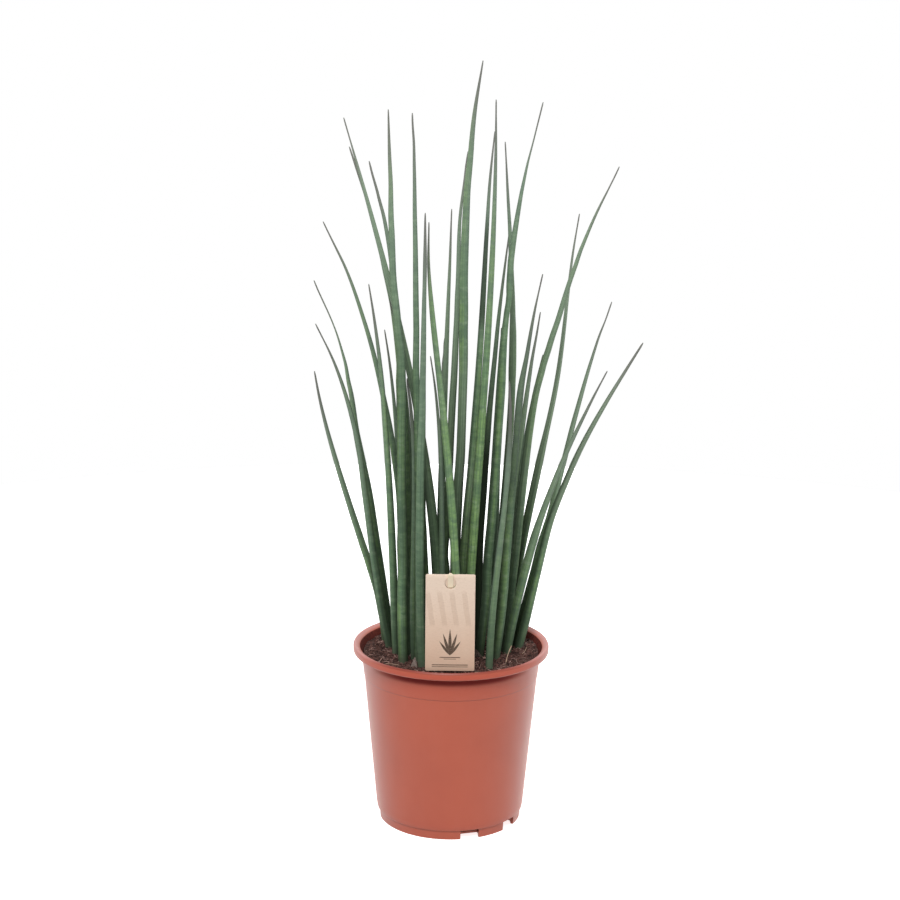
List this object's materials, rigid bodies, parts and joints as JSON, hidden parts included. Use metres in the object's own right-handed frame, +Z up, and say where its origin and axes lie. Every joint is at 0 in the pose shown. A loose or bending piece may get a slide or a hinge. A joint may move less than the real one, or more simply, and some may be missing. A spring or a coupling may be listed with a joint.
{
  "type": "cylindrical snake plant in a pot",
  "caption": "Upright clump of slender pointed round leaves planted in a round plastic nursery pot, with a printed kraft card held on a flat stake at the front.",
  "frame": {"origin": "middle of the pot's underside, on the plane that the pot stands on", "axes": "+Z up, along the pot's axis and the leaves; -Y towards the front, the side that the card faces; +X to the right seen from the front"},
  "size_m": [0.2805, 0.1775, 0.653],
  "materials": {
    "pot_plastic": "satin",
    "compost": "matte",
    "kraft_card": "matte",
    "pale_wood": "matte",
    "leaf": "satin"
  },
  "bodies": {
    "root": {"pot": "pot_plastic", "soil": "compost", "card": "kraft_card", "stake": "pale_wood", "leaf_01": "leaf", "leaf_02": "leaf", "leaf_03": "leaf", "leaf_04": "leaf", "leaf_05": "leaf", "leaf_06": "leaf", "leaf_07": "leaf", "leaf_08": "leaf", "leaf_09": "leaf", "leaf_10": "leaf", "leaf_11": "leaf", "leaf_12": "leaf", "leaf_13": "leaf", "leaf_14": "leaf", "leaf_15": "leaf", "leaf_16": "leaf", "leaf_17": "leaf", "leaf_18": "leaf", "leaf_19": "leaf", "leaf_20": "leaf", "leaf_21": "leaf", "leaf_22": "leaf", "leaf_23": "leaf", "leaf_24": "leaf", "leaf_25": "leaf", "leaf_26": "leaf", "leaf_27": "leaf", "leaf_28": "leaf", "leaf_29": "leaf", "leaf_30": "leaf", "leaf_31": "leaf", "leaf_32": "leaf", "leaf_33": "leaf", "leaf_34": "leaf", "leaf_35": "leaf", "leaf_36": "leaf", "leaf_37": "leaf", "leaf_38": "leaf", "leaf_39": "leaf", "leaf_40": "leaf"}
  },
  "joints": []
}
